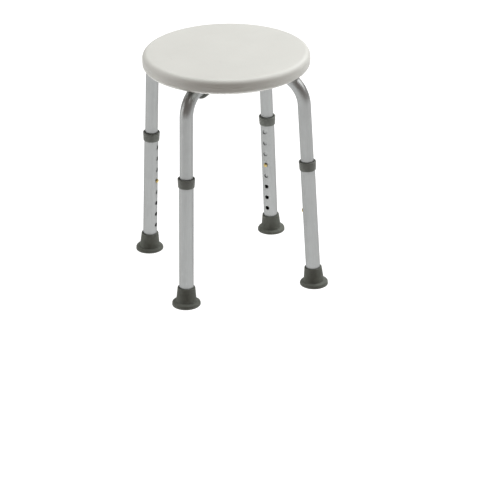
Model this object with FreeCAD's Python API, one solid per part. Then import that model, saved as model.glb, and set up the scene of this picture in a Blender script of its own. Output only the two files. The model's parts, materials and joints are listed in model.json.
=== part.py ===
"""Round shower stool with four height-adjustable telescoping legs.

Millimetres, +Z up. The origin is on the floor, below the centre of the seat.
Two bent tubes cross under the seat, and each ends in two legs that lean outwards.
A leg runs along its own axis: heights named *_along are measured up that axis
from the floor. In a leg's own frame the axis is +Z, and +X points away from the stool.
"""
import FreeCAD, Part
import math
import os

Vector = FreeCAD.Vector

# ---- Overall ----
seat_top = 455.0
seat_diameter = 320.0
foot_circle_radius = 184.3
leg_splay = 3.1

# ---- Seat ----
seat_thickness = 28.0
seat_top_rounding = 10.5
seat_bottom_rounding = 8.0
seat_wall = 2.5
parting_ridge_width = 0.9
parting_ridge_height = 0.25
channel_clearance = 0.4
pocket_margin = 4.0
dimple_mouth_radius = 9.0
dimple_tip_radius = 5.0
dimple_mouth_rounding = 2.0
dimple_inner_circle = 78.0
dimple_rim_margin = 34.0
dimple_outer_spread = 22.0
boss_wall = 4.0

# ---- Frame tubes ----
frame_tube_diameter = 25.0
frame_tube_wall = 1.5
lower_run_drop = 11.0
lower_bend_radius = 42.0
upper_bend_radius = 60.0
pressed_height = 13.0
pressed_half_length = 21.0
press_run_out = 28.0
press_seam = 18.0
tube_below_button = 36.0

# ---- Centre bolt ----
bolt_diameter = 6.0
bolt_head_across_flats = 10.0
bolt_head_height = 4.0
bolt_hole_clearance = 0.3
washer_diameter = 16.0
washer_thickness = 1.5
centre_insert_wall = 2.0
centre_insert_length = 13.0
centre_thread_engagement = 11.0

# ---- Saddle clamps and their screws ----
clamp_wall = 6.5
clamp_length = 19.0
lower_clamp_outer_end = 111.0
upper_clamp_outer_end = 103.0
clamp_flange_thickness = 3.5
clamp_screw_gap = 2.0
clamp_flange_margin = 7.0
clamp_bore_clearance = 0.1
clamp_edge_rounding = 1.5
screw_diameter = 5.0
screw_head_diameter = 9.5
screw_head_height = 3.0
screw_length = 14.0
screw_hole_clearance = 0.3
screw_recess_width = 1.1
screw_recess_span = 5.0
screw_recess_depth = 1.6
insert_wall = 1.0
insert_length = 12.0

# ---- Lower legs ----
telescope_clearance = 0.25
lower_tube_wall = 1.2
hole_clearance = 0.35
hole_pitch = 24.5
hole_count = 8
holes_above_button = 3
hole_above_foot = 20.0
tube_above_holes = 28.3

# ---- Collars ----
collar_grip_length = 15.0
collar_lip_height = 3.2
collar_bottom_wall = 1.8
collar_top_wall = 2.8
collar_land = 1.2
collar_funnel = 1.6
collar_edge = 0.8

# ---- Feet ----
foot_height = 36.2
foot_floor = 6.0
foot_neck_wall = 3.0
foot_base_wall = 5.9
foot_flange_reach = 13.6
foot_base_along = 8.2
foot_flange_inner_along = 7.1
foot_flange_edge_along = 5.9
foot_flange_rounding = 2.8
foot_neck_rounding = 1.0
foot_trim_depth = 6.0
foot_washer_thickness = 2.0
foot_washer_clearance = 0.1
tread_groove_radii = (9.0, 15.5, 22.0)
tread_groove_width = 2.4
tread_groove_depth = 1.6

# ---- Snap buttons and their springs ----
button_radius = 3.85
button_stand_out = 3.0
button_dome = 1.2
button_clearance = 0.3
button_flange_lip = 1.35
button_flange_thickness = 1.0
button_seat_gap = 0.12
spring_thickness = 0.6
spring_width = 8.0
spring_rise = 38.0
spring_apex_radius = 1.6
spring_pad_margin = 1.0
spring_wall_gap = 0.25

# ---- Worked out from the above ----
seat_radius = seat_diameter / 2
seat_underside = seat_top - seat_thickness
seat_wall_middle = (seat_top - seat_top_rounding + seat_underside + seat_bottom_rounding) / 2
frame_tube_radius = frame_tube_diameter / 2
frame_tube_bore = frame_tube_radius - frame_tube_wall
lower_run_height = seat_underside - lower_run_drop
upper_run_height = lower_run_height + pressed_height
lower_tube_bore = frame_tube_radius + telescope_clearance
lower_tube_radius = lower_tube_bore + lower_tube_wall
lower_tube_end_along = foot_floor + foot_washer_thickness
hole_radius = button_radius + hole_clearance
top_hole_along = foot_height + hole_above_foot + (hole_count - 1) * hole_pitch
lower_tube_top_along = top_hole_along + tube_above_holes
button_along = top_hole_along - holes_above_button * hole_pitch
frame_tube_end_along = button_along - tube_below_button
pocket_ceiling = upper_run_height + pressed_height / 2
pocket_radius = pressed_half_length + press_run_out + pocket_margin
bolt_hole_radius = bolt_diameter / 2 + bolt_hole_clearance
centre_insert_radius = bolt_diameter / 2 + centre_insert_wall
clamp_outer_radius = frame_tube_radius + clamp_wall
clamp_screw_offset = clamp_outer_radius + screw_head_diameter / 2 + clamp_screw_gap
insert_radius = screw_diameter / 2 + insert_wall
collar_bore = frame_tube_radius + telescope_clearance
collar_bottom_along = lower_tube_top_along - collar_grip_length
collar_top_along = lower_tube_top_along + collar_lip_height
collar_bottom_radius = lower_tube_radius + collar_bottom_wall
collar_top_radius = lower_tube_radius + collar_top_wall
foot_neck_radius = lower_tube_radius + foot_neck_wall
foot_base_radius = lower_tube_radius + foot_base_wall
foot_flange_radius = lower_tube_radius + foot_flange_reach
button_flange_radius = button_radius + button_flange_lip
button_tip = lower_tube_radius + button_stand_out
button_seat = math.sqrt(frame_tube_bore ** 2 - button_flange_radius ** 2) - button_seat_gap

# Azimuth of each leg, and the tube that it belongs to.
LEGS = {
    "front_left": (225.0, "lower"),
    "front_right": (315.0, "upper"),
    "back_right": (45.0, "lower"),
    "back_left": (135.0, "upper"),
}
RUNS = {
    "lower": (lower_run_height, lower_bend_radius, 45.0, lower_clamp_outer_end),
    "upper": (upper_run_height, upper_bend_radius, 135.0, upper_clamp_outer_end),
}

AXIS_X = Vector(1, 0, 0)
AXIS_Y = Vector(0, 1, 0)
AXIS_Z = Vector(0, 0, 1)
ORIGIN = Vector(0, 0, 0)


def fused(shapes):
    """One shape from several that touch or overlap."""
    first, *others = shapes
    return first.multiFuse(others).removeSplitter() if others else first


def turned(shape, azimuth):
    """A copy turned about the stool's vertical axis."""
    copy = shape.copy()
    copy.rotate(ORIGIN, AXIS_Z, azimuth)
    return copy


def revolved(outline):
    """Solid of revolution about Z from edges in the XZ plane, closed along the axis."""
    face = Part.Face(Part.Wire(Part.__sortEdges__(outline)))
    return face.revolve(ORIGIN, AXIS_Z, 360)


def line(start, end):
    return Part.LineSegment(Vector(start[0], 0, start[1]), Vector(end[0], 0, end[1])).toShape()


def arc(start, middle, end):
    points = [Vector(x, 0, z) for x, z in (start, middle, end)]
    return Part.Arc(*points).toShape()


def polygon(points):
    """Closed outline of straight edges through (x, z) points."""
    return [line(a, b) for a, b in zip(points, points[1:] + points[:1])]


def upright(radius, bottom, top, x=0.0, y=0.0):
    """Vertical cylinder between two heights."""
    return Part.makeCylinder(radius, top - bottom, Vector(x, y, bottom), AXIS_Z)


def ring(outer, inner, bottom, top):
    return upright(outer, bottom, top).cut(upright(inner, bottom, top))


def stand_leg(shape, azimuth):
    """Take a shape from a leg's own frame to its place on the stool."""
    placed = shape.copy()
    placed.rotate(ORIGIN, AXIS_Y, -leg_splay)
    placed.translate(Vector(foot_circle_radius, 0, 0))
    return turned(placed, azimuth)


def leg_point(along):
    """Point on a leg's axis, in the vertical plane of its tube."""
    lean = math.radians(leg_splay)
    return Vector(foot_circle_radius - along * math.sin(lean), 0, along * math.cos(lean))


# ---- Frame tubes ----

def stadium(x, half_height, half_flat, centre_height):
    """Pressed tube's section at one x: two flats joined by half rounds."""
    top = centre_height + half_height
    bottom = centre_height - half_height

    def at(y, z):
        return Vector(x, y, z)

    reach = half_flat + half_height
    edges = [
        Part.LineSegment(at(-half_flat, top), at(half_flat, top)).toShape(),
        Part.Arc(at(half_flat, top), at(reach, centre_height), at(half_flat, bottom)).toShape(),
        Part.LineSegment(at(half_flat, bottom), at(-half_flat, bottom)).toShape(),
        Part.Arc(at(-half_flat, bottom), at(-reach, centre_height), at(-half_flat, top)).toShape(),
    ]
    return Part.Wire(edges)


def round_section(x, radius, centre_height, seam):
    """Tube's round section in four arcs, to match the stadium's four edges."""
    def at(angle):
        return Vector(x, radius * math.sin(angle), centre_height + radius * math.cos(angle))

    starts = [-seam, seam, math.pi - seam, math.pi + seam, 2 * math.pi - seam]
    edges = [Part.Arc(at(a), at((a + b) / 2), at(b)).toShape() for a, b in zip(starts, starts[1:])]
    return Part.Wire(edges)


def bend_start_along(run_height, bend_radius):
    """Where a leg stops being straight, for a run at this height."""
    lean = math.radians(leg_splay)
    tangent = bend_radius * math.tan((math.pi / 2 - lean) / 2)
    return run_height / math.cos(lean) - tangent


def tube_bar(radius, run_height, bend_radius, end_along):
    """One side of a bent tube as a solid bar: leg, bend and the run to the pressed part."""
    lean = math.radians(leg_splay)
    start_along = bend_start_along(run_height, bend_radius)
    along = Vector(-math.sin(lean), 0, math.cos(lean))
    inward = Vector(-math.cos(lean), 0, -math.sin(lean))
    start = leg_point(start_along)
    centre = start + inward * bend_radius
    leg = Part.makeCylinder(radius, start_along - end_along, leg_point(end_along), along)
    disc = Part.Face(Part.Wire(Part.Circle(start, along, radius).toShape()))
    bend = disc.revolve(centre, AXIS_Y, -(90 - leg_splay))
    run_end = pressed_half_length + press_run_out
    run = Part.makeCylinder(radius, centre.x - run_end, Vector(run_end, 0, run_height), AXIS_X)
    return fused([leg, bend, run])


def pressed_section(inset, run_height):
    """The pressed tube's section where its run-out starts, set in from its skin."""
    half_flat = math.pi * (frame_tube_diameter - pressed_height) / 4
    return stadium(pressed_half_length, pressed_height / 2 - inset, half_flat, run_height)


def run_out(inset, run_height):
    """From the pressed section back to the round one, on the +X side."""
    seam = math.radians(press_seam)
    run_end = pressed_half_length + press_run_out
    circle = round_section(run_end, frame_tube_radius - inset, run_height, seam)
    return Part.makeLoft([pressed_section(inset, run_height), circle], True, False)


def bent_bar(inset, run_height, bend_radius):
    """A whole bent tube as a solid bar, set in from the tube's skin."""
    side = tube_bar(frame_tube_radius - inset, run_height, bend_radius, frame_tube_end_along)
    taper = run_out(inset, run_height)
    middle = Part.Face(pressed_section(inset, run_height)).extrude(Vector(-2 * pressed_half_length, 0, 0))
    return fused([middle, taper, turned(taper, 180), side, turned(side, 180)])


def button_hole(radius, along):
    """Drill through the inner side of a leg, in the leg's own frame."""
    return Part.makeCylinder(radius, 2 * lower_tube_radius, Vector(0, 0, along), -AXIS_X)


def frame_tube(run):
    run_height, bend_radius, azimuth, _ = RUNS[run]
    outside = bent_bar(0.0, run_height, bend_radius)
    inside = bent_bar(frame_tube_wall, run_height, bend_radius)
    drill = button_hole(button_radius + button_clearance, button_along)
    drills = [stand_leg(drill, 0), stand_leg(drill, 180)]
    bolt_drill = upright(bolt_hole_radius, run_height - pressed_height, run_height + pressed_height)
    tube = outside.cut([inside, bolt_drill] + drills)
    return turned(tube, azimuth)


# ---- Seat ----

def seat_body(inset):
    """The seat's outer form, or the same form set in by a wall."""
    radius = seat_radius - inset
    top = seat_top - inset
    bottom = seat_underside + inset
    upper = seat_top_rounding - inset
    lower = seat_bottom_rounding - inset
    diagonal = math.sqrt(0.5)
    outline = [
        line((0, bottom), (radius - lower, bottom)),
        arc(
            (radius - lower, bottom),
            (radius - lower + lower * diagonal, bottom + lower - lower * diagonal),
            (radius, bottom + lower),
        ),
        line((radius, bottom + lower), (radius, top - upper)),
        arc(
            (radius, top - upper),
            (radius - upper + upper * diagonal, top - upper + upper * diagonal),
            (radius - upper, top),
        ),
        line((radius - upper, top), (0, top)),
        line((0, top), (0, bottom)),
    ]
    return revolved(outline)


def parting_ridge():
    """The thin ridge that the two mould halves leave round the seat's wall."""
    half = parting_ridge_width / 2
    return revolved(polygon([
        (seat_radius - seat_wall / 2, seat_wall_middle - half),
        (seat_radius, seat_wall_middle - half),
        (seat_radius + parting_ridge_height, seat_wall_middle),
        (seat_radius, seat_wall_middle + half),
        (seat_radius - seat_wall / 2, seat_wall_middle + half),
    ]))


def tube_channels(grow):
    """Room for both tubes and their crossing, or that room with a wall around it."""
    channels = [upright(pocket_radius + grow, seat_underside - seat_wall, pocket_ceiling + grow)]
    room = channel_clearance + grow
    for run_height, bend_radius, azimuth, _ in RUNS.values():
        end_along = bend_start_along(run_height, bend_radius) - frame_tube_diameter
        side = tube_bar(frame_tube_radius + room, run_height, bend_radius, end_along)
        for shape in (side, run_out(-room, run_height)):
            channels += [turned(shape, azimuth), turned(shape, azimuth + 180)]
    return channels


def dimple_places():
    """Centres of the moulded dimples in the four free quarters of the underside."""
    places = []
    for quarter in range(4):
        azimuth = 90.0 * quarter
        places.append((dimple_inner_circle, azimuth))
        for turn in (-dimple_outer_spread, 0.0, dimple_outer_spread):
            places.append((seat_radius - dimple_rim_margin, azimuth + turn))
    return places


def dimples(grow):
    """Cones pressed up from the underside until they meet the top wall."""
    tip = seat_top - 2 * seat_wall + grow
    mouth = seat_underside - grow
    slope = (dimple_mouth_radius - dimple_tip_radius) / (seat_top - 2 * seat_wall - seat_underside)
    throat = mouth + dimple_mouth_rounding
    throat_radius = dimple_mouth_radius + grow - slope * dimple_mouth_rounding
    diagonal = math.sqrt(0.5)
    outline = polygon([
        (0, tip),
        (dimple_tip_radius + grow, tip),
        (throat_radius, throat),
        (throat_radius + dimple_mouth_rounding, mouth),
        (0, mouth),
    ])
    bend = arc(
        (throat_radius, throat),
        (throat_radius + dimple_mouth_rounding * (1 - diagonal), throat - dimple_mouth_rounding * diagonal),
        (throat_radius + dimple_mouth_rounding, mouth),
    )
    cone = revolved(outline[:2] + [bend] + outline[3:])
    cones = []
    for circle, azimuth in dimple_places():
        placed = cone.copy()
        placed.translate(Vector(circle, 0, 0))
        cones.append(turned(placed, azimuth))
    return cones


def clamp_centre(run):
    return RUNS[run][3] - clamp_length / 2


def screw_places():
    """Angle of each clamp with its two screw positions, in the clamp's own frame."""
    places = []
    for azimuth, run in LEGS.values():
        for side in (-1, 1):
            places.append((clamp_centre(run), side * clamp_screw_offset, azimuth))
    return places


def seat():
    bosses = [upright(centre_insert_radius + 2 * boss_wall, seat_underside, seat_top)]
    insert_holes = [upright(centre_insert_radius, pocket_ceiling, pocket_ceiling + centre_insert_length)]
    for x, y, azimuth in screw_places():
        bosses.append(turned(upright(insert_radius + boss_wall, seat_underside, seat_top, x, y), azimuth))
        hole = upright(insert_radius, seat_underside, seat_underside + insert_length, x, y)
        insert_holes.append(turned(hole, azimuth))
    hollow = seat_body(seat_wall).cut(tube_channels(seat_wall) + dimples(seat_wall) + bosses)
    outside = seat_body(0.0).fuse(parting_ridge())
    return outside.cut(tube_channels(0.0) + dimples(0.0) + insert_holes + [hollow])


# ---- Centre bolt ----

def hexagon(across_flats, bottom, height):
    """Hexagonal bar standing on a horizontal plane."""
    radius = across_flats / math.sqrt(3)
    corners = []
    for k in range(7):
        angle = math.radians(60 * k)
        corners.append(Vector(radius * math.cos(angle), radius * math.sin(angle), bottom))
    return Part.Face(Part.makePolygon(corners)).extrude(Vector(0, 0, height))


def centre_washer():
    top = lower_run_height - pressed_height / 2
    return ring(washer_diameter / 2, bolt_hole_radius, top - washer_thickness, top)


def centre_bolt():
    head_top = lower_run_height - pressed_height / 2 - washer_thickness
    shank = upright(bolt_diameter / 2, head_top, pocket_ceiling + centre_thread_engagement)
    return fused([hexagon(bolt_head_across_flats, head_top - bolt_head_height, bolt_head_height), shank])


def centre_insert():
    body = upright(centre_insert_radius, pocket_ceiling, pocket_ceiling + centre_insert_length)
    return body.cut(upright(bolt_diameter / 2, pocket_ceiling, pocket_ceiling + centre_thread_engagement))


# ---- Saddle clamps ----

def saddle_clamp(leg):
    """Saddle over a tube's run, with two flanges flat against the seat."""
    azimuth, run = LEGS[leg]
    run_height = RUNS[run][0]
    start = clamp_centre(run) - clamp_length / 2
    flange_half = clamp_screw_offset + clamp_flange_margin
    flange_bottom = seat_underside - clamp_flange_thickness
    barrel = Part.makeCylinder(clamp_outer_radius, clamp_length, Vector(start, 0, run_height), AXIS_X)
    head_room = max(seat_underside - run_height, clamp_flange_thickness)
    cheeks = Part.makeBox(
        clamp_length, 2 * clamp_outer_radius, head_room,
        Vector(start, -clamp_outer_radius, seat_underside - head_room),
    )
    flange = Part.makeBox(
        clamp_length, 2 * flange_half, clamp_flange_thickness,
        Vector(start, -flange_half, flange_bottom),
    )
    below_seat = Part.makeBox(
        clamp_length, 2 * flange_half, seat_underside,
        Vector(start, -flange_half, 0),
    )
    corner_edges = [e for e in flange.Edges if abs(abs(e.BoundBox.Center.y) - flange_half) < 0.01
                    and e.BoundBox.ZLength > clamp_flange_thickness / 2]
    flange = flange.makeFillet(2 * clamp_edge_rounding, corner_edges)
    saddle = fused([barrel.fuse(cheeks).common(below_seat), flange])
    end_edges = [e for e in saddle.Edges if e.BoundBox.XLength < 0.01
                 and e.BoundBox.ZMin < flange_bottom - 0.5 and e.BoundBox.ZMax < seat_underside]
    saddle = saddle.makeFillet(clamp_edge_rounding, end_edges)
    bore_radius = frame_tube_radius + clamp_bore_clearance
    bore = Part.makeCylinder(bore_radius, clamp_length, Vector(start, 0, run_height), AXIS_X)
    mouth = Part.makeBox(
        clamp_length, 2 * bore_radius, clamp_outer_radius,
        Vector(start, -bore_radius, run_height),
    )
    screw_holes = [
        upright(screw_diameter / 2 + screw_hole_clearance, flange_bottom, seat_underside,
                clamp_centre(run), side * clamp_screw_offset)
        for side in (-1, 1)
    ]
    return turned(saddle.cut([bore, mouth] + screw_holes), azimuth)


def clamp_screw():
    """Pan-head screw, standing on Z with its head's flat side at zero."""
    head = upright(screw_head_diameter / 2, -screw_head_height, 0)
    lower_rim = [e for e in head.Edges if e.BoundBox.ZMax < -screw_head_height / 2]
    head = head.makeFillet(screw_head_height / 2, lower_rim)
    shank = upright(screw_diameter / 2, 0, screw_length)
    recess = Part.makeBox(
        screw_recess_span, screw_recess_width, screw_recess_depth,
        Vector(-screw_recess_span / 2, -screw_recess_width / 2, -screw_head_height),
    )
    return fused([head, shank]).cut([recess, turned(recess, 90)])


def clamp_screws():
    screws = []
    for x, y, azimuth in screw_places():
        screw = clamp_screw()
        screw.translate(Vector(x, y, seat_underside - clamp_flange_thickness))
        screws.append(turned(screw, azimuth))
    return Part.makeCompound(screws)


def clamp_inserts():
    inserts = []
    bore_top = seat_underside - clamp_flange_thickness + screw_length
    for x, y, azimuth in screw_places():
        body = upright(insert_radius, seat_underside, seat_underside + insert_length, x, y)
        bore = upright(screw_diameter / 2, seat_underside, bore_top, x, y)
        inserts.append(turned(body.cut(bore), azimuth))
    return Part.makeCompound(inserts)


# ---- Lower legs, each piece in the leg's own frame ----

def lower_tube():
    tube = ring(lower_tube_radius, lower_tube_bore, lower_tube_end_along, lower_tube_top_along)
    drills = [button_hole(hole_radius, top_hole_along - hole_pitch * k) for k in range(hole_count)]
    return tube.cut(drills)


def collar():
    """Tapered grip sleeve whose lip covers the lower tube's cut end."""
    top = collar_top_along
    lip_underside = lower_tube_top_along
    return revolved(polygon([
        (lower_tube_radius, collar_bottom_along),
        (collar_bottom_radius - collar_edge, collar_bottom_along),
        (collar_bottom_radius, collar_bottom_along + collar_edge),
        (collar_top_radius, top - collar_edge),
        (collar_top_radius - collar_edge, top),
        (collar_bore + collar_funnel, top),
        (collar_bore, lip_underside + collar_land),
        (collar_bore, lip_underside),
        (lower_tube_radius, lip_underside),
    ]))


def foot():
    """Rubber tip with a flared base, not yet trimmed to the floor."""
    diagonal = math.sqrt(0.5)
    neck = foot_neck_rounding
    flange = foot_flange_rounding
    flange_shoulder = foot_flange_radius - flange
    fillet_foot = foot_base_radius + foot_base_along - foot_flange_inner_along
    outline = polygon([
        (0, -foot_trim_depth),
        (foot_flange_radius, -foot_trim_depth),
        (foot_flange_radius, foot_flange_edge_along - flange),
        (flange_shoulder, foot_flange_edge_along),
        (fillet_foot, foot_flange_inner_along),
        (foot_base_radius, foot_base_along),
        (foot_neck_radius, foot_height - neck),
        (foot_neck_radius - neck, foot_height),
        (lower_tube_radius, foot_height),
        (lower_tube_radius, foot_floor),
        (0, foot_floor),
    ])
    outline[2] = arc(
        (foot_flange_radius, foot_flange_edge_along - flange),
        (flange_shoulder + flange * diagonal, foot_flange_edge_along - flange + flange * diagonal),
        (flange_shoulder, foot_flange_edge_along),
    )
    outline[4] = arc(
        (fillet_foot, foot_flange_inner_along),
        (foot_base_radius + (fillet_foot - foot_base_radius) * (1 - diagonal),
         foot_flange_inner_along + (foot_base_along - foot_flange_inner_along) * (1 - diagonal)),
        (foot_base_radius, foot_base_along),
    )
    outline[6] = arc(
        (foot_neck_radius, foot_height - neck),
        (foot_neck_radius - neck + neck * diagonal, foot_height - neck + neck * diagonal),
        (foot_neck_radius - neck, foot_height),
    )
    return revolved(outline)


def floor_trim():
    """What is cut from a placed foot at azimuth 0: all below the floor, and the tread grooves."""
    span = 2 * foot_flange_radius + foot_trim_depth
    below = Part.makeBox(
        span, span, 2 * foot_trim_depth,
        Vector(foot_circle_radius - span / 2, -span / 2, -2 * foot_trim_depth),
    )
    cuts = [below]
    half_width = tread_groove_width / 2
    for radius in tread_groove_radii:
        groove = ring(radius + half_width, radius - half_width, 0, tread_groove_depth)
        groove.translate(Vector(foot_circle_radius, 0, 0))
        cuts.append(groove)
    return cuts


def foot_washer():
    return upright(lower_tube_radius - foot_washer_clearance, foot_floor, lower_tube_end_along)


def snap_button():
    """Domed pin through both tubes, with a flange that keeps it inside the frame tube."""
    dome_radius = (button_radius ** 2 + button_dome ** 2) / (2 * button_dome)
    half_angle = math.asin(button_radius / dome_radius) / 2
    dome_drop = dome_radius * (1 - math.cos(half_angle))
    shoulder = button_tip - button_dome
    back = button_seat - button_flange_thickness
    outline = polygon([
        (0, back),
        (button_flange_radius, back),
        (button_flange_radius, button_seat),
        (button_radius, button_seat),
        (button_radius, shoulder),
        (0, button_tip),
    ])
    outline[4] = arc(
        (button_radius, shoulder),
        (dome_radius * math.sin(half_angle), button_tip - dome_drop),
        (0, button_tip),
    )
    button = revolved(outline)
    button.rotate(ORIGIN, AXIS_Y, -90)
    button.translate(Vector(0, 0, button_along))
    return button


def strip(points):
    """Flat spring strip that follows (x, z) points at mid-thickness."""
    pieces = []
    for (x0, z0), (x1, z1) in zip(points, points[1:]):
        length = math.hypot(x1 - x0, z1 - z0)
        piece = Part.makeBox(
            spring_thickness, spring_width, length,
            Vector(-spring_thickness / 2, -spring_width / 2, 0),
        )
        piece.rotate(ORIGIN, AXIS_Y, math.degrees(math.atan2(x1 - x0, z1 - z0)))
        piece.translate(Vector(x0, 0, z0))
        pieces.append(piece)
    for x, z in points[1:-1]:
        pieces.append(Part.makeCylinder(
            spring_thickness / 2, spring_width, Vector(x, -spring_width / 2, z), AXIS_Y))
    return fused(pieces)


def button_spring():
    """V-shaped leaf spring inside the frame tube, one arm behind the button."""
    pad_x = -(button_seat - button_flange_thickness - spring_thickness / 2)
    pad_reach = button_flange_radius + spring_pad_margin
    wall_at_edge = math.sqrt(frame_tube_bore ** 2 - (spring_width / 2) ** 2)
    wall_x = wall_at_edge - spring_wall_gap - spring_thickness / 2
    apex = button_along + spring_rise
    return strip([
        (pad_x, button_along - pad_reach),
        (pad_x, button_along + pad_reach),
        (-spring_apex_radius, apex - spring_apex_radius),
        (0, apex),
        (spring_apex_radius, apex - spring_apex_radius),
        (wall_x, button_along - pad_reach),
    ])


def save(node, shape):
    shape.exportStep("parts/%s.step" % node)


def main():
    os.makedirs("parts", exist_ok=True)
    save("seat", seat())
    save("cross_tube_lower", frame_tube("lower"))
    save("cross_tube_upper", frame_tube("upper"))
    save("centre_bolt", centre_bolt())
    save("centre_washer", centre_washer())
    save("centre_insert", centre_insert())
    save("clamp_screws", clamp_screws())
    save("clamp_inserts", clamp_inserts())
    leg_pieces = {
        "lower_tube": lower_tube(),
        "collar": collar(),
        "foot_washer": foot_washer(),
        "snap_button": snap_button(),
        "button_spring": button_spring(),
    }
    trimmed_foot = stand_leg(foot(), 0).cut(floor_trim())
    for leg, (azimuth, _) in LEGS.items():
        for piece, shape in leg_pieces.items():
            save("%s_%s" % (piece, leg), stand_leg(shape, azimuth))
        save("foot_%s" % leg, turned(trimmed_foot, azimuth))
        save("saddle_clamp_%s" % leg, saddle_clamp(leg))


main()
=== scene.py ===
import json
import math

import bmesh
import bpy
from bpy.props import FloatProperty, FloatVectorProperty, IntProperty, PointerProperty
from mathutils import Matrix, Vector

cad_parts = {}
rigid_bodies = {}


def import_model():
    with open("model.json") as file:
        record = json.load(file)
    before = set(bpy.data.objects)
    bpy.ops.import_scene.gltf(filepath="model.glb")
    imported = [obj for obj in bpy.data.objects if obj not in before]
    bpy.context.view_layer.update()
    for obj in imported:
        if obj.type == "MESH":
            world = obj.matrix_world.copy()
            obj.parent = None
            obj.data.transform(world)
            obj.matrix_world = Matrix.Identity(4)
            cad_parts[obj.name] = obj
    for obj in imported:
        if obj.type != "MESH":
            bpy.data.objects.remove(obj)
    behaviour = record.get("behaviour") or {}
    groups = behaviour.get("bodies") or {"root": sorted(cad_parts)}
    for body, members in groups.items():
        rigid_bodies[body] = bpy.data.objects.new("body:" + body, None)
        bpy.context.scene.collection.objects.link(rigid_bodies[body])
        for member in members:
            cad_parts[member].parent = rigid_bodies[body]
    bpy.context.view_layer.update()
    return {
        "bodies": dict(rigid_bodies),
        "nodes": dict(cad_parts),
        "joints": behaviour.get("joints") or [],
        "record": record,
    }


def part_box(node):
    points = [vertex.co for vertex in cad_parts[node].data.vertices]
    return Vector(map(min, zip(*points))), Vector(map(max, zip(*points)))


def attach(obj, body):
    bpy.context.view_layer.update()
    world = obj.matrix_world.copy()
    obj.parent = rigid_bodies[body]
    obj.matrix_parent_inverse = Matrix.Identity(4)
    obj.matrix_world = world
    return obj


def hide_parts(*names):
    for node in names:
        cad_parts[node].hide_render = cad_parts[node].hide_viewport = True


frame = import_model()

bl_info = {
    "name": "Shower Stool",
    "version": (1, 0, 0),
    "blender": (4, 5, 0),
    "location": "View3D > Sidebar > Stool",
    "description": "Builds the looks of a round shower stool with telescoping legs around its CAD frame",
    "category": "Object",
}

MM = 0.001
UP = Vector((0, 0, 1))
LEG_PREFIX = "lower_leg_"
LEG_NAMES = [body[len(LEG_PREFIX):] for body in frame["bodies"] if body.startswith(LEG_PREFIX)]
JOINTS = {joint["name"]: joint for joint in frame["joints"]}
TUBE_SPACE = "tube_space"
# Marks the vertices round each drilled hole's rim, where the tube finish paints shade.
HOLE_RIM_SHADE = "cut_edge"
# Vertices closer than this are merged.
MERGE_DISTANCE = 0.01 * MM
# Points this close to a height or an edge count as lying on it.
NEAR = 0.1 * MM
# Points this close to a collar's bottom belong to its lower edge.
LOWER_EDGE_ZONE = 1.0 * MM
PLANE_TOLERANCE = 0.0001 * MM
# Steps round a turned piece, along a tube's bend and along its pressed stretch.
TURNED_STEPS = 96
BEND_STEPS = 22
PRESS_STEPS = 14
# A hole is cut from a patch of HOLE_ROWS rows. It reaches HOLE_ROOM times the hole's radius up and
# down the tube, and HOLE_PATCH_SPREAD times that round it.
HOLE_ROWS = 8
HOLE_ROOM = 1.45
HOLE_PATCH_SPREAD = 1.08
# Edges that turn by more than these angles, in degrees, are shaded as sharp.
SHARP_ANGLE = 40.0
TUBE_SHARP_ANGLE = 35.0
FOOT_SHARP_ANGLE = 30.0
# A tube's edges that turn by more than this angle, in degrees, are rounded.
BEVEL_ANGLE = 50
# From the floor's middle to its edge, in metres.
FLOOR_REACH = 20.0
# Width of the camera's sensor, in millimetres.
SENSOR_WIDTH = 36.0
# The two legs at the ends of each bent tube.
TUBE_LEGS = {
    "cross_tube_lower": ("front_left", "back_right"),
    "cross_tube_upper": ("front_right", "back_left"),
}


# ---- Settings ----

def size(name, default_mm, text):
    """A length that a user may change, in metres with a default in millimetres."""
    return FloatProperty(name=name, default=default_mm * MM, min=0, unit="LENGTH", description=text)


def tint(name, default, text):
    return FloatVectorProperty(
        name=name, default=default, size=3, min=0, max=1, subtype="COLOR", description=text)


def share(name, default, text):
    return FloatProperty(name=name, default=default, min=0, max=1, subtype="FACTOR", description=text)


def turn(name, default_degrees, text):
    return FloatProperty(name=name, default=math.radians(default_degrees), subtype="ANGLE", description=text)


def power(name, default, text):
    return FloatProperty(name=name, default=default, min=0, unit="POWER", description=text)


class SeatSettings(bpy.types.PropertyGroup):
    colour: tint("Plastic", (0.655, 0.672, 0.642), "Off-white of the blow-moulded seat")
    roughness: share("Roughness", 0.46, "How matt the moulded skin is")
    grain: size("Grain depth", 0.035, "Depth of the fine moulded grain")


class TubeSettings(bpy.types.PropertyGroup):
    colour: tint("Aluminium", (0.380, 0.391, 0.388), "Satin anodised aluminium")
    roughness: share("Roughness", 0.42, "How matt the anodised skin is")
    segments: IntProperty(name="Segments", default=64, min=16, description="Faces around a tube")
    frame_wall: size("Frame tube wall", 1.5, "Wall of the two bent tubes")
    lower_wall: size("Lower tube wall", 1.2, "Wall of the four lower tubes")
    lower_bend: size("Lower tube bend", 42, "Bend radius of the tube that crosses below")
    upper_bend: size("Upper tube bend", 60, "Bend radius of the tube that crosses above")
    pressed_height: size("Pressed height", 13, "Height that both tubes are pressed to where they cross")
    pressed_half_length: size("Pressed half length", 21, "Half of the fully pressed length")
    press_run_out: size("Press run-out", 28, "Length over which a pressed tube turns round again")
    edge: size("Cut edge", 0.14, "Rounding left on cut edges and drilled holes")


class HoleSettings(bpy.types.PropertyGroup):
    radius: size("Hole radius", 4.2, "Adjustment hole in a lower tube")
    frame_radius: size("Frame hole radius", 4.15, "Button hole in a frame tube")
    pitch: size("Hole pitch", 24.5, "Distance between adjustment holes")
    count: IntProperty(name="Holes", default=8, min=1, description="Adjustment holes in each lower tube")
    first: size("Lowest hole", 56.2, "Height of the lowest hole along the leg")
    button: size("Button hole", 154.2, "Height of the hole that the button sits in, along the leg")


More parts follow.
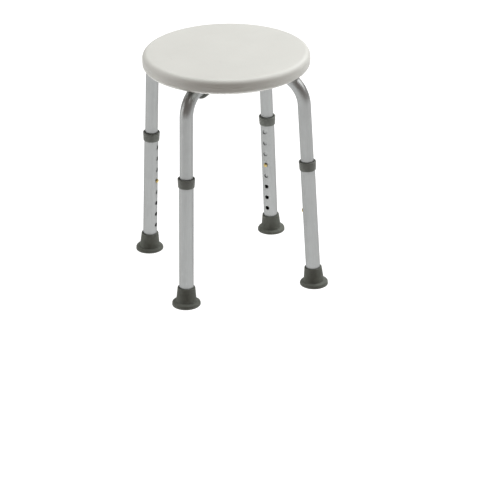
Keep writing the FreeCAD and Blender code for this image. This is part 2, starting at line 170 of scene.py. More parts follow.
class CollarSettings(bpy.types.PropertyGroup):
    colour: tint("Grey plastic", (0.123, 0.133, 0.119), "Dark grey moulded plastic of the collars and clamps")
    lip: size("Lip", 3.2, "Height of the lip above the lower tube's end")
    land: size("Land", 1.2, "Height of the guiding bore in the lip")
    funnel: size("Funnel", 1.6, "How far the mouth flares")
    lower_rounding: size("Lower rounding", 1.4, "Rounding of the lower outer edge")
    upper_rounding: size("Upper rounding", 1.5, "Rounding of the upper outer edge")
    mouth_rounding: size("Mouth rounding", 0.4, "Rounding of the mouth's two inner edges")


class FootSettings(bpy.types.PropertyGroup):
    colour: tint("Rubber", (0.120, 0.131, 0.114), "Dark grey rubber of the feet")
    base_radius: size("Base of the cone", 19.9, "Radius where the cone meets the flange")
    flange_root: size("Flange root", 7.1, "Height of the flange beside the cone")
    flange_edge: size("Flange edge", 5.9, "Height of the flange at its rim")
    fillet: size("Fillet", 0.6, "Rounding between the cone and the flange")
    rim_rounding: size("Rim rounding", 3.1, "Rounding of the flange's rim")
    neck_radius: size("Neck", 17, "Radius of the cone's top")
    neck_rounding: size("Neck rounding", 1.5, "Rounding of the top's outer edge")
    mouth_rounding: size("Mouth rounding", 0.7, "Rounding of the top's inner edge")
    groove_width: size("Tread groove", 2.4, "Width of a tread groove")
    groove_depth: size("Tread depth", 1.6, "Depth of a tread groove")
    land_width: size("Tread land", 4.1, "Width of the rubber between two grooves")
    rim_extra: size("Tread rim", 0.7, "How much wider the outermost land is")


class FittingSettings(bpy.types.PropertyGroup):
    zinc: tint("Zinc", (0.55, 0.55, 0.53), "Zinc-plated steel")
    brass: tint("Brass", (0.52, 0.40, 0.16), "Satin brass")
    steel: tint("Spring steel", (0.42, 0.42, 0.43), "Plain spring strip")


class StageSettings(bpy.types.PropertyGroup):
    leg_room: size("Leg room", 74, "Floor's depth below the feet, which the legs need at their longest")
    floor: tint("Floor", (0.30, 0.302, 0.305), "Pale studio floor")
    floor_glow: share("Floor glow", 0.9, "Light that the floor gives off itself")
    room: tint("Room", (0.195, 0.164, 0.146), "Dim light that comes from all round")
    ceiling_power: power("Ceiling", 136, "Wide soft ceiling")
    left_power: power("Left panel", 22, "Soft panel on the camera's left")
    edge_power: power("Left strip", 14, "Soft panel on the camera's left that also shows in the tubes")
    right_power: power("Right panel", 12, "Soft panel on the camera's right")
    bounce_power: power("Bounce", 42, "Light thrown back up at the underside")
    azimuth: turn("Azimuth", -17.2, "Camera's direction round the stool")
    elevation: turn("Elevation", 23.3, "Camera's height above the horizon")
    distance: FloatProperty(
        name="Distance", default=4.0, unit="LENGTH", description="From the camera to its target")
    target: FloatProperty(name="Target height", default=0.25, unit="LENGTH", description="Height looked at")
    pan: turn("Pan", -0.556, "Camera turned sideways off its target")
    tilt: turn("Tilt", -2.80, "Camera turned down off its target")
    roll: turn("Roll", 1.09, "Camera turned about its own line of sight")
    lens: FloatProperty(
        name="Lens", default=148.0, description="Focal length on a 36 mm sensor, in millimetres")


GROUPS = {
    "stool_seat": SeatSettings,
    "stool_tubes": TubeSettings,
    "stool_holes": HoleSettings,
    "stool_collars": CollarSettings,
    "stool_feet": FootSettings,
    "stool_fittings": FittingSettings,
    "stool_stage": StageSettings,
}


# ---- The frame's legs ----

class Leg:
    """One leg's own frame: Z up its axis from the floor, X away from the stool."""

    def __init__(self, name):
        self.name = name
        self.body = LEG_PREFIX + name
        self.up = -Vector(JOINTS["leg_slide_" + name]["axis"]).normalized()
        low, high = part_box("foot_washer_" + name)
        on_axis = (Vector(low) + Vector(high)) / 2
        self.floor = on_axis - self.up * (on_axis.z / self.up.z)
        self.radial = Vector((self.floor.x, self.floor.y, 0)).normalized()
        side = self.up.cross(self.radial).normalized()
        out = side.cross(self.up)
        columns = Matrix((out, side, self.up)).transposed()
        self.matrix = Matrix.Translation(self.floor) @ columns.to_4x4()
        self.lean = self.up.angle(UP)

    def local(self, node):
        """The CAD node's corner points in the leg's frame."""
        back = self.matrix.inverted()
        return [back @ vertex.co for vertex in frame["nodes"][node].data.vertices]

    def span(self, node):
        """Lowest and highest height of a node along the leg."""
        heights = [point.z for point in self.local(node)]
        return min(heights), max(heights)

    def reach(self, node):
        """Largest distance of a node from the leg's axis."""
        return max(math.hypot(point.x, point.y) for point in self.local(node))


# ---- Modelling ----

def wire(bm, points):
    """A chain of edges through (radius, height) points in the XZ plane."""
    verts = [bm.verts.new((x, 0, z)) for x, z in points]
    for a, b in zip(verts, verts[1:]):
        bm.edges.new((a, b))
    return verts


def round_corner(bm, corner, offset, segments=5):
    """Rounds one corner of a chain of edges."""
    bmesh.ops.bevel(
        bm, geom=[corner], offset=offset, offset_type="OFFSET", affect="VERTICES",
        segments=segments, profile=0.5, material=-1,
    )


def lathe(points, roundings, closed=False):
    """A turned form from its outline, with the numbered corners rounded."""
    bm = bmesh.new()
    verts = wire(bm, points)
    if closed:
        bm.edges.new((verts[-1], verts[0]))
    for index, offset in roundings.items():
        round_corner(bm, verts[index], offset)
    bmesh.ops.spin(
        bm, geom=bm.verts[:] + bm.edges[:], cent=(0, 0, 0), axis=UP, dvec=(0, 0, 0),
        angle=2 * math.pi, steps=TURNED_STEPS, use_merge=True, use_duplicate=False,
    )
    bmesh.ops.remove_doubles(bm, verts=bm.verts, dist=MERGE_DISTANCE / 10)
    bmesh.ops.recalc_face_normals(bm, faces=bm.faces)
    return bm


def make_piece(name, bm, material, sharp=SHARP_ANGLE, modifiers=()):
    """Turns a bmesh into a finished object with its modifiers applied."""
    mesh = bpy.data.meshes.new(name)
    bm.to_mesh(mesh)
    bm.free()
    piece = bpy.data.objects.new(name, mesh)
    bpy.context.scene.collection.objects.link(piece)
    for kind, settings in modifiers:
        modifier = piece.modifiers.new(kind.title(), kind)
        for key, value in settings.items():
            setattr(modifier, key, value)
    if modifiers:
        graph = bpy.context.evaluated_depsgraph_get()
        finished = bpy.data.meshes.new_from_object(piece.evaluated_get(graph), depsgraph=graph)
        piece.modifiers.clear()
        piece.data = finished
        bpy.data.meshes.remove(mesh)
        finished.name = name
    piece.data.shade_smooth()
    piece.data.set_sharp_from_angle(angle=math.radians(sharp))
    piece.data.materials.clear()
    piece.data.materials.append(material)
    return piece


def dress(nodes, material):
    """Gives carried-over CAD nodes their finish."""
    for node in nodes:
        slots = frame["nodes"][node].data.materials
        slots.clear()
        slots.append(material)


def cut_edges(tubes, wall):
    """Wall thickness and lightly rounded cut edges for a tube."""
    return (
        ("SOLIDIFY", {"thickness": wall, "offset": -1.0, "use_even_offset": True, "use_rim": True}),
        ("BEVEL", {"width": tubes.edge, "segments": 2, "limit_method": "ANGLE",
                   "angle_limit": math.radians(BEVEL_ANGLE)}),
    )


def start_ring(bm, layer, radius, height, segments):
    """The first ring of a tube; every vertex remembers its place round and along the tube."""
    bm.verts.layers.float.new(HOLE_RIM_SHADE)
    made = bmesh.ops.create_circle(
        bm, cap_ends=False, radius=radius, segments=segments, matrix=Matrix.Translation((0, 0, height)))
    for vert in made["verts"]:
        vert[layer] = vert.co
    return [edge for edge in bm.edges if edge.verts[0] in made["verts"]]


def next_ring(bm, layer, ring, matrix, along):
    """Extrudes a ring and moves the new one; returns its edges."""
    made = bmesh.ops.extrude_edge_only(bm, edges=ring)["geom"]
    verts = [item for item in made if isinstance(item, bmesh.types.BMVert)]
    bmesh.ops.transform(bm, matrix=matrix, verts=verts)
    for vert in verts:
        vert[layer] = Vector((vert[layer].x, vert[layer].y, along))
    return [item for item in made if isinstance(item, bmesh.types.BMEdge)]


def ring_verts(ring):
    return {vert for edge in ring for vert in edge.verts}


def straight_tube(bm, layer, ring, start, stops):
    """Grows a straight tube up its axis to each height in turn."""
    height = start
    for stop in stops:
        ring = next_ring(bm, layer, ring, Matrix.Translation((0, 0, stop - height)), stop)
        height = stop
    return ring


def hole_stops(height, radius):
    """Rows of vertices that a hole needs around it."""
    half = radius * HOLE_ROOM
    return [height - half + 2 * half * row / HOLE_ROWS for row in range(HOLE_ROWS + 1)]


def punch(bm, layer, tube_radius, height, radius):
    """Opens a round hole in the side that faces the stool's middle, and marks its rim where the tube finish
    paints shade.
    """
    half = radius * HOLE_ROOM
    spread = math.asin(min(1, half / tube_radius)) * HOLE_PATCH_SPREAD

    def inside(point, slack):
        angle = abs(math.atan2(point.y, -point.x))
        return abs(point.z - height) < half + slack and angle < spread + slack / tube_radius

    block = [face for face in bm.faces if inside(face.calc_center_median(), -NEAR)]
    rim = {edge for face in block for edge in face.edges}
    rim = [edge for edge in rim if sum(face in block for face in edge.link_faces) == 1]
    bmesh.ops.delete(bm, geom=block, context="FACES")
    made = bmesh.ops.extrude_edge_only(bm, edges=rim)["geom"]
    for vert in [item for item in made if isinstance(item, bmesh.types.BMVert)]:
        angle = math.atan2(vert.co.z - height, tube_radius * math.atan2(vert.co.y, -vert.co.x))
        y = radius * math.cos(angle)
        vert.co = Vector((-math.sqrt(tube_radius ** 2 - y ** 2), y, height + radius * math.sin(angle)))
        vert[layer] = vert.co
        # Marks the hole's rim for the painted shade of the tube finish.
        vert[bm.verts.layers.float[HOLE_RIM_SHADE]] = 1.0


def face_outwards(bm, point_on_axis):
    """An open tube's faces turned so that they look away from its axis."""
    face = min(bm.faces, key=lambda item: (item.calc_center_median() - point_on_axis).length)
    if face.normal.dot(face.calc_center_median() - point_on_axis) < 0:
        bmesh.ops.reverse_faces(bm, faces=bm.faces)


def direction(azimuth, elevation):
    """The way from the stool towards something placed round it."""
    level = math.cos(elevation)
    return Vector((math.sin(azimuth) * level, -math.cos(azimuth) * level, math.sin(elevation)))


def pressed_section(angle, radius, half_height):
    """Where a point of a round tube goes when the tube is pressed, with its girth unchanged."""
    half_flat = math.pi * (radius - half_height) / 2
    girth = radius * abs(angle)
    round_part = math.pi * half_height
    if girth < half_flat:
        across, height = girth, half_height
    elif girth < half_flat + round_part:
        turned = (girth - half_flat) / half_height
        across, height = half_flat + half_height * math.sin(turned), half_height * math.cos(turned)
    else:
        across, height = 2 * half_flat + round_part - girth, -half_height
    return math.copysign(across, angle), height


# ---- Finishes ----

class Channel:
    """One number that varies over a surface. Arithmetic on it adds Math nodes."""

    def __init__(self, finish, socket):
        self.finish = finish
        self.socket = socket

    def maths(self, operation, first, second):
        node = self.finish.node("ShaderNodeMath", {"operation": operation}, {0: first, 1: second})
        return Channel(self.finish, node.outputs[0])

    def __add__(self, other):
        return self.maths("ADD", self, other)

    def __radd__(self, other):
        return self.maths("ADD", other, self)

    def __sub__(self, other):
        return self.maths("SUBTRACT", self, other)

    def __rsub__(self, other):
        return self.maths("SUBTRACT", other, self)

    def __mul__(self, other):
        return self.maths("MULTIPLY", self, other)

    def __rmul__(self, other):
        return self.maths("MULTIPLY", other, self)

    def above(self, low, high):
        """0 below low, 1 above high, and even in between."""
        node = self.finish.node("ShaderNodeMapRange", {"clamp": True}, {
            "Value": self, "From Min": low, "From Max": high, "To Min": 0.0, "To Max": 1.0})
        return Channel(self.finish, node.outputs["Result"])

    def near(self, middle, width):
        """1 where the number is at the middle, falling to 0 a width away."""
        node = self.finish.node("ShaderNodeMath", {"operation": "ABSOLUTE"}, {0: self - middle})
        return 1 - Channel(self.finish, node.outputs[0]).above(0.0, width)


class Finish:
    """One procedural material on a Principled shader."""

    def __init__(self, name, roughness, metallic=0.0, **fixed):
        self.material = bpy.data.materials.new(name)
        self.material.use_nodes = True
        self.tree = self.material.node_tree
        self.shader = self.tree.nodes["Principled BSDF"]
        self.shader.inputs["Roughness"].default_value = roughness
        self.shader.inputs["Metallic"].default_value = metallic
        for socket, value in fixed.items():
            self.shader.inputs[socket.replace("_", " ")].default_value = value

    def node(self, kind, settings=None, sockets=None):
        """Any node from its type, its settings and the values or links of its sockets."""
        node = self.tree.nodes.new(kind)
        for key, value in (settings or {}).items():
            setattr(node, key, value)
        for key, value in (sockets or {}).items():
            if isinstance(value, Channel):
                value = value.socket
            if isinstance(value, bpy.types.NodeSocket):
                self.tree.links.new(value, node.inputs[key])
            else:
                node.inputs[key].default_value = value
        return node

    def object_space(self):
        return self.node("ShaderNodeTexCoord").outputs["Object"]

    def tube_space(self):
        """Place round and along a tube, which follows its bends."""
        return self.node("ShaderNodeAttribute", {"attribute_name": TUBE_SPACE}).outputs["Vector"]

    def amount(self, attribute):
        """A number kept on the piece's vertices."""
        return Channel(self, self.node("ShaderNodeAttribute", {"attribute_name": attribute}).outputs["Fac"])

    def stretched(self, place, scale=(1, 1, 1), rotation=(0, 0, 0)):
        return self.node("ShaderNodeMapping", None, {
            "Vector": place, "Scale": scale, "Rotation": rotation}).outputs["Vector"]

    def noise(self, place, scale, detail=3.0, distortion=0.0):
        node = self.node("ShaderNodeTexNoise", None, {
            "Vector": place, "Scale": scale, "Detail": detail, "Distortion": distortion})
        return Channel(self, node.outputs["Fac"])

    def pits(self, place, scale):
        """Distance to the nearest of many scattered points, for a pebbled skin."""
        node = self.node("ShaderNodeTexVoronoi", {"feature": "SMOOTH_F1"}, {
            "Vector": place, "Scale": scale, "Smoothness": 0.6})
        return Channel(self, node.outputs["Distance"])

    def height(self, place):
        split = self.node("ShaderNodeSeparateXYZ", None, {"Vector": place})
        return Channel(self, split.outputs["Z"])

    def blend(self, first, second, factor):
        """A colour between two, by a varying factor."""
        node = self.node("ShaderNodeMix", {"data_type": "RGBA"}, {0: factor})
        for index, colour in ((6, first), (7, second)):
            if isinstance(colour, bpy.types.NodeSocket):
                self.tree.links.new(colour, node.inputs[index])
            else:
                node.inputs[index].default_value = (*colour, 1)
        return node.outputs[2]

    def wear(self, colour=None, roughness=None, relief=None, depth=0.0):
        """Connects what varies to the shader; relief is a height of at most depth."""
        if colour is not None:
            self.tree.links.new(colour, self.shader.inputs["Base Color"])
        if roughness is not None:
            self.tree.links.new(roughness.socket, self.shader.inputs["Roughness"])
        if relief is not None:
            bump = self.node("ShaderNodeBump", None, {"Height": relief, "Distance": depth, "Strength": 1.0})
            self.tree.links.new(bump.outputs["Normal"], self.shader.inputs["Normal"])
        return self.material


def shade(colour, factor):
    """A colour made lighter or darker."""
    return tuple(min(1.0, channel * factor) for channel in colour)


def seat_plastic(seat):
    """Blow-moulded polyethylene: fine pebbled grain, faint flow marks and hairline scuffs."""
    finish = Finish("seat_plastic", seat.roughness, IOR=1.5)
    place = finish.object_space()
    cloud = finish.noise(place, 7.0, 4.0)
    mottle = finish.noise(place, 46.0, 5.0)
    grain = finish.pits(place, 900.0)
    fine = finish.noise(place, 2600.0, 2.0)
    scuffs = hairlines(finish, place)
    colour = finish.blend(shade(seat.colour, 0.965), shade(seat.colour, 1.03), cloud.above(0.3, 0.7))
    colour = finish.blend(colour, shade(seat.colour, 0.93), mottle.above(0.58, 0.8) * 0.35)
    colour = finish.blend(colour, shade(seat.colour, 0.88), scuffs * 0.22)
    roughness = seat.roughness + (mottle - 0.5) * 0.10 + (cloud - 0.5) * 0.08 + scuffs * 0.12
    relief = grain * 0.55 + fine * 0.3 + cloud * 0.15
    return finish.wear(colour, roughness, relief, seat.grain)


def hairlines(finish, place):
    """Sparse fine scratches in three directions."""
    total = None
    for angle, scale in ((0.4, 26.0), (1.5, 33.0), (2.5, 21.0)):
        turned = finish.stretched(place, (1.0, 0.05, 1.0), (0.0, 0.0, angle))
        line = finish.noise(turned, scale * 6, 2.0, 0.4).near(0.5, 0.012)
        patch = finish.noise(place, scale, 2.0).above(0.56, 0.68)
        line = line * patch
        total = line if total is None else total + line
    return total.above(0.0, 1.0)


def anodised(name, tubes, place_of, stretch):
    """Satin anodised aluminium with drawing lines that run along the tube, and painted shade darkening the
    rims of the drilled holes.
    """
    finish = Finish(name, tubes.roughness, 1.0, Specular_Tint=(0.6, 0.6, 0.6, 1.0))
    place = place_of(finish)
    lines = finish.stretched(place, (1.0, 1.0, stretch))
    streak = finish.noise(lines, 1500.0, 4.0)
    band = finish.noise(lines, 260.0, 3.0)
    smudge = finish.noise(place, 34.0, 5.0, 0.3)
    speck = finish.noise(place, 2400.0, 2.0)
    rub = finish.noise(finish.stretched(place, (1.0, 1.0, 0.12)), 420.0, 3.0).above(0.66, 0.74)
    colour = finish.blend(shade(tubes.colour, 0.90), shade(tubes.colour, 1.06), streak.above(0.25, 0.75))
    colour = finish.blend(colour, shade(tubes.colour, 0.93), smudge.above(0.5, 0.75) * 0.45)
    colour = finish.blend(colour, shade(tubes.colour, 1.18), rub * 0.5)
    # Painted shade: the rims of the drilled holes are darkened to stand in for the shade inside the holes.
    colour = finish.blend(colour, shade(tubes.colour, 0.3), finish.amount(HOLE_RIM_SHADE).above(0.93, 1.0))
    roughness = tubes.roughness + (streak - 0.5) * 0.16 + (smudge - 0.5) * 0.16 + (band - 0.5) * 0.08
    roughness = roughness - rub * 0.10
    relief = streak * 0.5 + band * 0.2 + speck * 0.3
    return finish.wear(colour, roughness, relief, 0.012 * MM)


def grey_plastic(collars):
    """Dark grey moulded plastic with a fine spark-eroded skin."""
    finish = Finish("grey_plastic", 0.5)
    place = finish.object_space()
    skin = finish.pits(place, 1500.0)
    cloud = finish.noise(place, 60.0, 4.0)
    rub = finish.noise(finish.stretched(place, (1.0, 1.0, 4.0)), 180.0, 4.0).above(0.6, 0.75)
    colour = finish.blend(shade(collars.colour, 0.88), shade(collars.colour, 1.14), cloud)
    colour = finish.blend(colour, shade(collars.colour, 1.7), rub * 0.35)
    roughness = 0.5 + (cloud - 0.5) * 0.16 + rub * 0.10
    return finish.wear(colour, roughness, skin * 0.7 + cloud * 0.3, 0.03 * MM)


def grey_rubber(feet):
    """Matt rubber with a powdery bloom and a fine pebbled skin."""
    finish = Finish("grey_rubber", 0.72, Specular_IOR_Level=0.4)
    place = finish.object_space()
    skin = finish.pits(place, 1100.0)
    bloom = finish.noise(place, 90.0, 5.0, 0.5)
    dust = finish.noise(place, 700.0, 3.0)
    colour = finish.blend(shade(feet.colour, 0.86), shade(feet.colour, 1.18), bloom.above(0.3, 0.7))
    colour = finish.blend(colour, shade(feet.colour, 1.9), dust.above(0.55, 0.8) * bloom * 0.4)
    low = 1 - finish.height(place).above(0.0, 5 * MM)
    colour = finish.blend(colour, shade(feet.colour, 1.35), low * 0.35)
    roughness = 0.72 + (bloom - 0.5) * 0.2
    return finish.wear(colour, roughness, skin * 0.6 + dust * 0.4, 0.05 * MM)


def metal_fitting(name, colour, roughness, grain):
    """Small metal part with a plated or turned skin, handling marks and dull patches."""
    finish = Finish(name, roughness, 1.0)
    place = finish.object_space()
    patch = finish.noise(place, 240.0, 4.0)
    fine = finish.noise(place, grain, 3.0)
    tarnish = finish.blend(shade(colour, 0.80), shade(colour, 1.10), patch.above(0.3, 0.7))
    tarnish = finish.blend(tarnish, shade(colour, 0.6), fine.above(0.62, 0.8) * 0.4)
    level = roughness + (patch - 0.5) * 0.2 + (fine - 0.5) * 0.12
    return finish.wear(tarnish, level, fine * 0.6 + patch * 0.4, 0.01 * MM)


def studio_floor(stage):
    """Pale matt paper with a barely visible tooth, which gives off light itself."""
    finish = Finish(
        "studio_floor", 0.9, Specular_IOR_Level=0.1,
        Emission_Color=(1.0, 1.0, 1.0, 1.0), Emission_Strength=stage.floor_glow)
    place = finish.object_space()
    tooth = finish.noise(place, 60.0, 4.0)
    colour = finish.blend(shade(stage.floor, 0.99), shade(stage.floor, 1.01), tooth)
    return finish.wear(colour)


# ---- Operators ----

class STOOL_OT_seat(bpy.types.Operator):
    """Finish the moulded seat"""
    bl_idname = "stool.seat"
    bl_label = "Seat"

    def execute(self, context):
        dress(["seat"], seat_plastic(context.scene.stool_seat))
        return {"FINISHED"}


class STOOL_OT_frame_tubes(bpy.types.Operator):
    """Bend the two crossing frame tubes"""
    bl_idname = "stool.frame_tubes"
    bl_label = "Frame Tubes"

    def execute(self, context):
        tubes = context.scene.stool_tubes
        finish = anodised("frame_aluminium", tubes, Finish.tube_space, 0.02)
        bends = {"cross_tube_lower": tubes.lower_bend, "cross_tube_upper": tubes.upper_bend}
        for node, bend_radius in bends.items():
            self.bent_tube(context, node, bend_radius, finish)
        return {"FINISHED"}

    def bent_tube(self, context, node, bend_radius, finish):
        tubes = context.scene.stool_tubes
        bm = bmesh.new()
        bm.verts.layers.float_vector.new(TUBE_SPACE)
        for side, leg_name in zip((1, -1), TUBE_LEGS[node]):
            half = self.half_tube(context, Leg(leg_name), node, bend_radius)
            layer = half.verts.layers.float_vector[TUBE_SPACE]
            for vert in half.verts:
                vert[layer] = Vector((vert[layer].x, side * vert[layer].y, vert[layer].z))
            passing = bpy.data.meshes.new("half_tube")
            half.to_mesh(passing)
            half.free()
            bm.from_mesh(passing)
            bpy.data.meshes.remove(passing)
        bmesh.ops.remove_doubles(bm, verts=bm.verts, dist=MERGE_DISTANCE)
        piece = make_piece(
            "bent_" + node, bm, finish, TUBE_SHARP_ANGLE, cut_edges(tubes, tubes.frame_wall))
        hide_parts(node)
        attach(piece, "frame")

    def half_tube(self, context, leg, node, bend_radius):
        """From a leg's lower end up round the bend to the middle of the crossing."""
        tubes = context.scene.stool_tubes
        holes = context.scene.stool_holes
        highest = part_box(node)[1][2]
        bottom = leg.span(node)[0]
        radius = self.tube_radius(leg, node, bottom)
        run_height = highest - radius
        tangent = bend_radius * math.tan((math.pi / 2 - leg.lean) / 2)
        bend_start = run_height / math.cos(leg.lean) - tangent
        bm = bmesh.new()
        layer = bm.verts.layers.float_vector.new(TUBE_SPACE)
        ring = start_ring(bm, layer, radius, bottom, tubes.segments)
        stops = hole_stops(holes.button, holes.frame_radius) + [bend_start]
        ring = straight_tube(bm, layer, ring, bottom, stops)
        punch(bm, layer, radius, holes.button, holes.frame_radius)
        ring, along = self.bend(bm, layer, ring, leg, bend_radius, bend_start)
        face_outwards(bm, Vector((0, 0, bottom)))
        bmesh.ops.transform(bm, matrix=leg.matrix, verts=bm.verts)
        self.run_to_middle(bm, layer, ring, leg, radius, run_height, along, tubes)
        return bm

    @staticmethod
    def tube_radius(leg, node, bottom):
        """Radius of the tube at its lower end."""
        ends = [point for point in leg.local(node) if abs(point.z - bottom) < NEAR]
        return max(math.hypot(point.x, point.y) for point in ends)

    @staticmethod
    def bend(bm, layer, ring, leg, bend_radius, start):
        """Turns the ring about the bend's centre, step by step."""
        total = math.pi / 2 - leg.lean
        centre = Vector((-bend_radius, 0, start))
        turn_once = Matrix.Rotation(-total / BEND_STEPS, 4, "Y")
        about_centre = Matrix.Translation(centre) @ turn_once @ Matrix.Translation(-centre)
        along = start
        for _ in range(BEND_STEPS):
            along += bend_radius * total / BEND_STEPS
            ring = next_ring(bm, layer, ring, about_centre, along)
        return ring, along

    @staticmethod
    def run_to_middle(bm, layer, ring, leg, radius, run_height, along, tubes):
        """The level run, flattened towards the middle of the stool."""
        verts = ring_verts(ring)
        distance = sum(vert.co.dot(leg.radial) for vert in verts) / len(verts)
        side = UP.cross(leg.radial)
        run_end = tubes.pressed_half_length + tubes.press_run_out
        stops = [run_end - tubes.press_run_out * step / PRESS_STEPS for step in range(PRESS_STEPS + 1)]
        stops.append(0.0)
        for stop in stops:
            along += distance - stop
            ring = next_ring(bm, layer, ring, Matrix.Translation(leg.radial * (stop - distance)), along)
            distance = stop
            share_pressed = min(1.0, (run_end - stop) / tubes.press_run_out)
            eased = share_pressed * share_pressed * (3 - 2 * share_pressed)
            half_height = radius + (tubes.pressed_height / 2 - radius) * eased
            for vert in ring_verts(ring):
                angle = math.atan2(vert[layer].y, vert[layer].x)
                across, height = pressed_section(angle, radius, half_height)
                vert.co = leg.radial * stop + side * across + UP * (run_height + height)


class STOOL_OT_lower_tubes(bpy.types.Operator):
    """Drill the four lower tubes"""
    bl_idname = "stool.lower_tubes"
    bl_label = "Lower Tubes"

    def execute(self, context):
        tubes = context.scene.stool_tubes
        holes = context.scene.stool_holes
        finish = anodised("leg_aluminium", tubes, Finish.tube_space, 0.02)
        for name in LEG_NAMES:
            leg = Leg(name)
            node = "lower_tube_" + name
            bottom, top = leg.span(node)
            radius = leg.reach(node)
            bm = bmesh.new()
            layer = bm.verts.layers.float_vector.new(TUBE_SPACE)
            heights = [holes.first + holes.pitch * index for index in range(holes.count)]
            stops = [stop for height in heights for stop in hole_stops(height, holes.radius)]
            ring = start_ring(bm, layer, radius, bottom, tubes.segments)
            straight_tube(bm, layer, ring, bottom, stops + [top])
            for height in heights:
                punch(bm, layer, radius, height, holes.radius)
            face_outwards(bm, Vector((0, 0, bottom)))
            bmesh.ops.transform(bm, matrix=leg.matrix, verts=bm.verts)
            piece = make_piece(
                "drilled_" + node, bm, finish, TUBE_SHARP_ANGLE, cut_edges(tubes, tubes.lower_wall))
            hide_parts(node)
            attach(piece, leg.body)
        return {"FINISHED"}


class STOOL_OT_collars(bpy.types.Operator):
    """Turn the collars on the lower tubes' ends"""
    bl_idname = "stool.collars"
    bl_label = "Collars"

    def execute(self, context):
        collars = context.scene.stool_collars
        finish = grey_plastic(collars)
        for name in LEG_NAMES:
            leg = Leg(name)
            node = "collar_" + name
            bottom, top = leg.span(node)
            points = leg.local(node)
            outer = leg.reach(node)
            bore = min(math.hypot(point.x, point.y) for point in points)
            tube = leg.reach("lower_tube_" + name)
            lowest = max(math.hypot(p.x, p.y) for p in points if p.z < bottom + LOWER_EDGE_ZONE)
            lip = top - collars.lip
            outline = [
                (tube, bottom), (lowest, bottom), (outer, top), (bore + collars.funnel, top),
                (bore, lip + collars.land), (bore, lip), (tube, lip),
            ]
            roundings = {
                1: collars.lower_rounding, 2: collars.upper_rounding,
                3: collars.mouth_rounding, 4: collars.mouth_rounding,
            }
            bm = lathe(outline, roundings, closed=True)
            bmesh.ops.transform(bm, matrix=leg.matrix, verts=bm.verts)
            piece = make_piece("turned_" + node, bm, finish)
            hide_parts(node)
            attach(piece, leg.body)
        dress([node for node in frame["nodes"] if node.startswith("saddle_clamp")], finish)
        return {"FINISHED"}


class STOOL_OT_feet(bpy.types.Operator):
    """Mould the flared rubber feet"""
    bl_idname = "stool.feet"
    bl_label = "Feet"

    def execute(self, context):
        feet = context.scene.stool_feet
        finish = grey_rubber(feet)
        for name in LEG_NAMES:
            leg = Leg(name)
            node = "foot_" + name
            bm = self.turned_form(leg, node, feet)
            bmesh.ops.transform(bm, matrix=leg.matrix, verts=bm.verts)
            self.stand_on_floor(bm)
            self.cut_tread(bm, feet)
            piece = make_piece("moulded_" + node, bm, finish, FOOT_SHARP_ANGLE)
            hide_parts(node)
            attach(piece, leg.body)
        return {"FINISHED"}

    @staticmethod
    def turned_form(leg, node, feet):
        """The foot on its leg's axis, reaching below the floor."""
        top = leg.span(node)[1]
        rim = leg.reach(node)
        tube = leg.reach("lower_tube_" + leg.name)
        inside = leg.span("foot_washer_" + leg.name)[0]
        below = -rim * math.tan(leg.lean) * 2
        outline = [
            (0, below), (rim, below), (rim, feet.flange_edge), (feet.base_radius, feet.flange_root),
            (feet.neck_radius, top), (tube, top), (tube, inside), (0, inside),
        ]
        roundings = {2: feet.rim_rounding, 3: feet.fillet, 4: feet.neck_rounding, 5: feet.mouth_rounding}
        return lathe(outline, roundings)

    @staticmethod
    def stand_on_floor(bm):
        """Cuts away what is below the floor and closes the underside."""
        geom = bm.verts[:] + bm.edges[:] + bm.faces[:]
        bmesh.ops.bisect_plane(
            bm, geom=geom, dist=PLANE_TOLERANCE, plane_co=(0, 0, 0), plane_no=(0, 0, -1), clear_outer=True)
        rim = [edge for edge in bm.edges if edge.is_boundary]
        bmesh.ops.edgeloop_fill(bm, edges=rim)
        bmesh.ops.recalc_face_normals(bm, faces=bm.faces)

    @staticmethod
    def cut_tread(bm, feet):
        """Sinks ring-shaped grooves into the underside."""
        sole = max(bm.faces, key=lambda face: len(face.verts))
        grooves = []
        inward = (feet.land_width + feet.rim_extra, feet.groove_width, feet.land_width, feet.groove_width,
                  feet.land_width, feet.groove_width)
        for index, width in enumerate(inward):
            made = bmesh.ops.inset_individual(bm, faces=[sole], thickness=width, use_even_offset=True)
            if index % 2:
                grooves.append(made["faces"])
        for band in grooves:
            made = bmesh.ops.extrude_face_region(bm, geom=band)["geom"]
            raised = [item for item in made if isinstance(item, bmesh.types.BMVert)]
            bmesh.ops.translate(bm, verts=raised, vec=(0, 0, feet.groove_depth))
            bmesh.ops.delete(bm, geom=[face for face in band if face.is_valid], context="FACES_ONLY")
        bmesh.ops.recalc_face_normals(bm, faces=bm.faces)


class STOOL_OT_fittings(bpy.types.Operator):
    """Finish the buttons, springs, screws and washers"""
    bl_idname = "stool.fittings"
    bl_label = "Fittings"

    def execute(self, context):
        fittings = context.scene.stool_fittings
        finishes = {
            "plated_steel": metal_fitting("plated_steel", fittings.zinc, 0.36, 1800.0),
            "brass": metal_fitting("satin_brass", fittings.brass, 0.34, 2200.0),
            "spring_steel": metal_fitting("spring_steel", fittings.steel, 0.3, 1500.0),
        }
        for part in frame["record"]["subparts"]:
            finish = finishes.get(part["material_slot"])
            if finish:
                dress([part["node"]], finish)
        return {"FINISHED"}


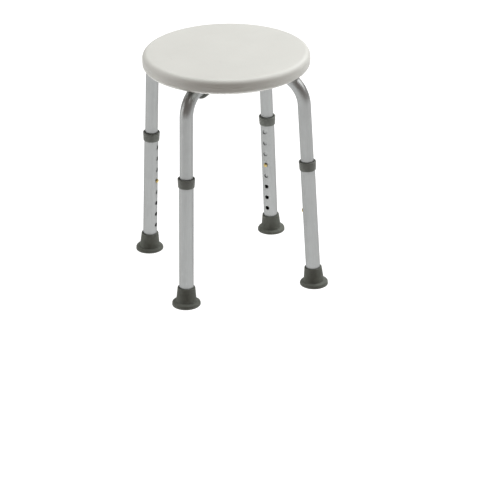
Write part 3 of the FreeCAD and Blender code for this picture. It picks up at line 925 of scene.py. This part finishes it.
class STOOL_OT_stage(bpy.types.Operator):
    """Set the floor, the lights and the camera"""
    bl_idname = "stool.stage"
    bl_label = "Stage"

    def execute(self, context):
        stage = context.scene.stool_stage
        self.floor(stage)
        self.sky(context, stage)
        self.lights(context, stage)
        self.camera(context, stage)
        return {"FINISHED"}

    @staticmethod
    def floor(stage):
        bm = bmesh.new()
        bmesh.ops.create_grid(bm, x_segments=8, y_segments=8, size=FLOOR_REACH)
        bmesh.ops.translate(bm, vec=(0, 0, -stage.leg_room), verts=bm.verts)
        floor = make_piece("floor", bm, studio_floor(stage))
        floor.visible_diffuse = False
        floor.visible_shadow = False

    @staticmethod
    def sky(context, stage):
        world = bpy.data.worlds.new("studio")
        world.use_nodes = True
        background = world.node_tree.nodes["Background"]
        background.inputs["Color"].default_value = (*stage.room, 1.0)
        background.inputs["Strength"].default_value = 1.0
        context.scene.world = world
        context.scene.view_settings.view_transform = "Standard"

    @staticmethod
    def lights(context, stage):
        """Soft panels, each with its place right of, behind and above the middle, its width and
        power, and whether shiny surfaces mirror it."""
        panels = {
            "ceiling": ((1.3, 0.8, 2.5), 4.2, stage.ceiling_power, True),
            "left": ((-2.7, 0.3, 0.6), 2.0, stage.left_power, False),
            "edge": ((-2.7, -0.1, 0.8), 1.6, stage.edge_power, True),
            "right": ((2.7, 0.2, 0.6), 2.0, stage.right_power, False),
            "bounce": ((0.0, 0.0, -1.6), 1.6, stage.bounce_power, True),
        }
        middle = Vector((0, 0, stage.target))
        forward = -direction(stage.azimuth, 0.0)
        right = forward.cross(UP)
        for name, ((across, behind, above), width, watts, mirrored) in panels.items():
            offset = right * across + forward * behind + UP * above
            light = bpy.data.lights.new(name, "AREA")
            light.size = width
            light.energy = watts
            lamp = bpy.data.objects.new(name, light)
            lamp.location = middle + offset
            lamp.rotation_euler = offset.to_track_quat("Z", "Y").to_euler()
            lamp.visible_camera = False
            lamp.visible_glossy = mirrored
            context.scene.collection.objects.link(lamp)

    @staticmethod
    def camera(context, stage):
        data = bpy.data.cameras.new("camera")
        data.sensor_width = SENSOR_WIDTH
        data.lens = stage.lens
        camera = bpy.data.objects.new("camera", data)
        toward = direction(stage.azimuth, stage.elevation)
        right = UP.cross(toward).normalized()
        up = toward.cross(right)
        panned = Matrix.Rotation(stage.pan, 3, up)
        back, right = panned @ toward, panned @ right
        tilted = Matrix.Rotation(stage.tilt, 3, right)
        back, up = tilted @ back, tilted @ up
        rolled = Matrix.Rotation(-stage.roll, 3, back)
        axes = Matrix((rolled @ right, rolled @ up, back)).transposed()
        place = Vector((0, 0, stage.target)) + toward * stage.distance
        camera.matrix_world = Matrix.Translation(place) @ axes.to_4x4()
        context.scene.collection.objects.link(camera)
        context.scene.camera = camera


class STOOL_PT_panel(bpy.types.Panel):
    """Buttons and settings for the stool"""
    bl_idname = "STOOL_PT_panel"
    bl_label = "Shower Stool"
    bl_space_type = "VIEW_3D"
    bl_region_type = "UI"
    bl_category = "Stool"

    def draw(self, context):
        for operator in OPERATORS:
            self.layout.operator(operator.bl_idname)
        for name, group in GROUPS.items():
            box = self.layout.box()
            for setting in group.__annotations__:
                box.prop(getattr(context.scene, name), setting)


OPERATORS = (
    STOOL_OT_seat, STOOL_OT_frame_tubes, STOOL_OT_lower_tubes, STOOL_OT_collars,
    STOOL_OT_feet, STOOL_OT_fittings, STOOL_OT_stage,
)


def register():
    for group in GROUPS.values():
        bpy.utils.register_class(group)
    for item in OPERATORS + (STOOL_PT_panel,):
        bpy.utils.register_class(item)
    for name, group in GROUPS.items():
        setattr(bpy.types.Scene, name, PointerProperty(type=group))


def unregister():
    for name in GROUPS:
        delattr(bpy.types.Scene, name)
    for item in reversed(OPERATORS + (STOOL_PT_panel,)):
        bpy.utils.unregister_class(item)
    for group in reversed(list(GROUPS.values())):
        bpy.utils.unregister_class(group)


def main():
    register()
    bpy.ops.stool.seat()
    bpy.ops.stool.frame_tubes()
    bpy.ops.stool.lower_tubes()
    bpy.ops.stool.collars()
    bpy.ops.stool.feet()
    bpy.ops.stool.fittings()
    bpy.ops.stool.stage()


if __name__ == "__main__":
    main()
